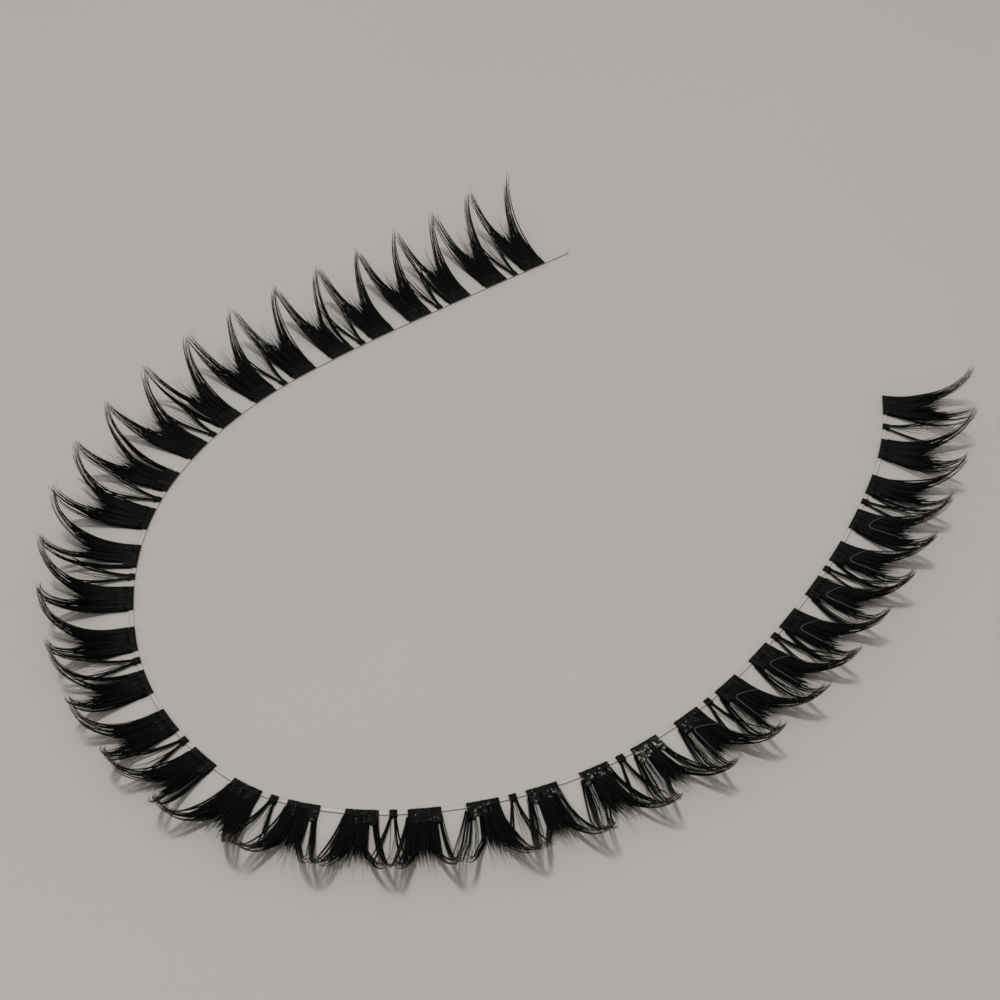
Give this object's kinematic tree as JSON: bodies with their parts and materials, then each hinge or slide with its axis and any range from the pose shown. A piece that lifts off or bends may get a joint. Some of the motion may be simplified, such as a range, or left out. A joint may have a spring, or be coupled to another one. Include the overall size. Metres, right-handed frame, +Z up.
{
  "type": "false eyelash strip",
  "caption": "Long false eyelash strip lying in an open U: black clusters with two curled legs each and thin filler tufts on a clear band.",
  "frame": {"origin": "middle of the strip's bounding box, on the surface that it lies on", "axes": "+Z up from the table, +Y away from the viewer, +X to the viewer's right; the U opens towards +X and +Y"},
  "size_m": [0.0904, 0.0918, 0.0069],
  "materials": {
    "lash_fibre": "black synthetic fibre with a faint sheen, bonded and glossy at the root",
    "filler_fibre": "thin black synthetic fibre",
    "clear_band": "clear film with two fine edge threads"
  },
  "bodies": {
    "root": {"lash_band": "clear_band", "lash_cluster_01": "lash_fibre", "lash_cluster_02": "lash_fibre", "lash_cluster_03": "lash_fibre", "lash_cluster_04": "lash_fibre", "lash_cluster_05": "lash_fibre", "lash_cluster_06": "lash_fibre", "lash_cluster_07": "lash_fibre", "lash_cluster_08": "lash_fibre", "lash_cluster_09": "lash_fibre", "lash_cluster_10": "lash_fibre", "lash_cluster_11": "lash_fibre", "lash_cluster_12": "lash_fibre", "lash_cluster_13": "lash_fibre", "lash_cluster_14": "lash_fibre", "lash_cluster_15": "lash_fibre", "lash_cluster_16": "lash_fibre", "lash_cluster_17": "lash_fibre", "lash_cluster_18": "lash_fibre", "lash_cluster_19": "lash_fibre", "lash_cluster_20": "lash_fibre", "lash_cluster_21": "lash_fibre", "lash_cluster_22": "lash_fibre", "lash_cluster_23": "lash_fibre", "lash_cluster_24": "lash_fibre", "lash_cluster_25": "lash_fibre", "lash_cluster_26": "lash_fibre", "lash_cluster_27": "lash_fibre", "lash_cluster_28": "lash_fibre", "lash_cluster_29": "lash_fibre", "lash_cluster_30": "lash_fibre", "lash_cluster_31": "lash_fibre", "lash_cluster_32": "lash_fibre", "lash_cluster_33": "lash_fibre", "lash_cluster_34": "lash_fibre", "lash_cluster_35": "lash_fibre", "lash_cluster_36": "lash_fibre", "filler_tuft_01": "filler_fibre", "filler_tuft_02": "filler_fibre", "filler_tuft_03": "filler_fibre", "filler_tuft_04": "filler_fibre", "filler_tuft_05": "filler_fibre", "filler_tuft_06": "filler_fibre", "filler_tuft_07": "filler_fibre", "filler_tuft_08": "filler_fibre", "filler_tuft_09": "filler_fibre", "filler_tuft_10": "filler_fibre", "filler_tuft_11": "filler_fibre", "filler_tuft_12": "filler_fibre", "filler_tuft_13": "filler_fibre", "filler_tuft_14": "filler_fibre", "filler_tuft_15": "filler_fibre", "filler_tuft_16": "filler_fibre", "filler_tuft_17": "filler_fibre", "filler_tuft_18": "filler_fibre"}
  },
  "joints": []
}
